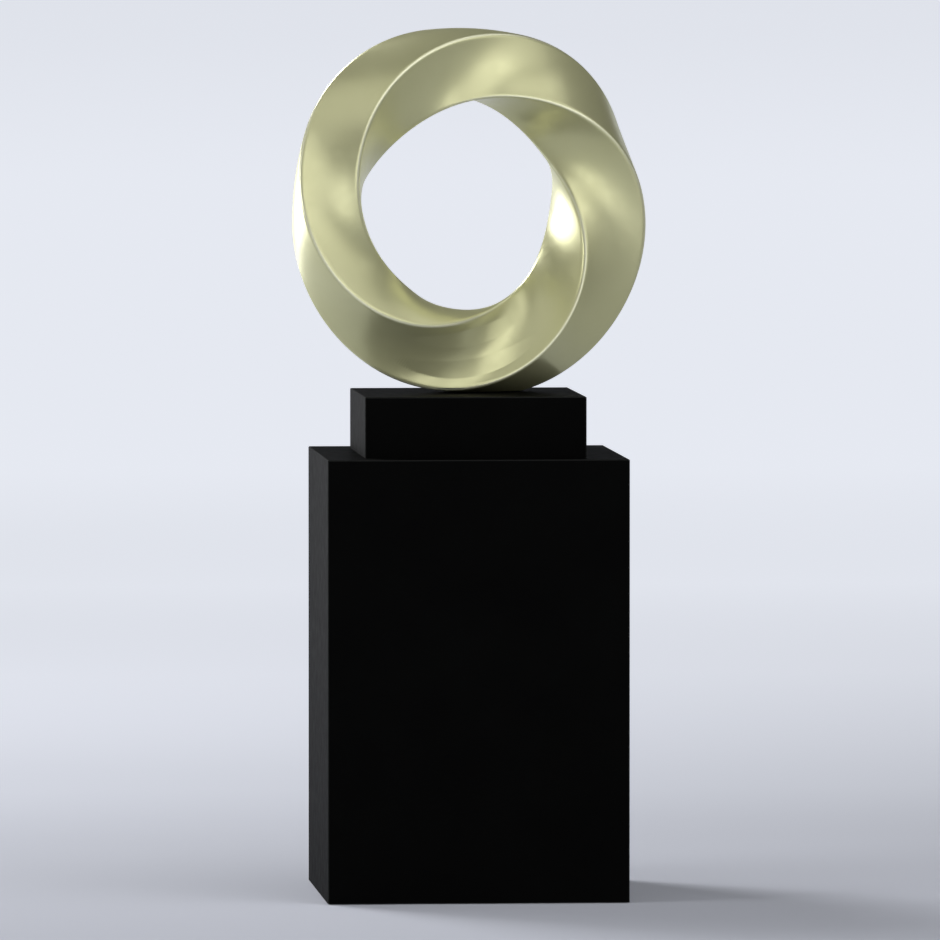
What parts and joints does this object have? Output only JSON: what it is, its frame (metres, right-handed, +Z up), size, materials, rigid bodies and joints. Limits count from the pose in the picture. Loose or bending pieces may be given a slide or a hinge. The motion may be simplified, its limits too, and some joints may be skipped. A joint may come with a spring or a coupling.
{
  "type": "twisted_ring_sculpture",
  "caption": "Twisted four-ridged ring of satin champagne-gold sheet metal, bolted to a low black block on a tall square black pedestal",
  "frame": {"origin": "middle of the floor plane under the pedestal", "axes": "+X right, +Y towards the back, +Z up"},
  "size_m": [0.6517, 0.545, 1.5735],
  "materials": {
    "satin_gold": "satin champagne gold, finely brushed",
    "mill_steel": "mill",
    "black_lacquer": "black satin lacquer",
    "raw_wood": "raw",
    "pad_rubber": "matte"
  },
  "bodies": {
    "root": {"ring_skin_a": "satin_gold", "ring_skin_b": "satin_gold", "ring_skin_c": "satin_gold", "ring_skin_d": "satin_gold", "ring_rib_1": "mill_steel", "ring_rib_2": "mill_steel", "ring_rib_3": "mill_steel", "ring_rib_4": "mill_steel", "ring_rib_5": "mill_steel", "ring_rib_6": "mill_steel", "ring_rib_7": "mill_steel", "ring_rib_8": "mill_steel", "ring_hoop": "mill_steel", "foot_plate": "mill_steel", "foot_post_left": "mill_steel", "foot_post_right": "mill_steel", "foot_stud_left": "mill_steel", "foot_stud_right": "mill_steel", "foot_washer_left": "mill_steel", "foot_washer_right": "mill_steel", "foot_nut_left": "mill_steel", "foot_nut_right": "mill_steel", "block_bolt_1": "mill_steel", "block_bolt_2": "mill_steel", "block_bolt_3": "mill_steel", "block_bolt_4": "mill_steel", "block_top": "black_lacquer", "block_front": "black_lacquer", "block_back": "black_lacquer", "block_left": "black_lacquer", "block_right": "black_lacquer", "pedestal_top": "black_lacquer", "pedestal_front": "black_lacquer", "pedestal_back": "black_lacquer", "pedestal_left": "black_lacquer", "pedestal_right": "black_lacquer", "block_base": "raw_wood", "pedestal_base": "raw_wood", "pedestal_batten_1": "raw_wood", "pedestal_batten_2": "raw_wood", "pedestal_batten_3": "raw_wood", "pedestal_batten_4": "raw_wood", "pedestal_bearer_left": "raw_wood", "pedestal_bearer_right": "raw_wood", "floor_pad_1": "pad_rubber", "floor_pad_2": "pad_rubber", "floor_pad_3": "pad_rubber", "floor_pad_4": "pad_rubber", "floor_pad_middle": "pad_rubber"}
  },
  "joints": []
}
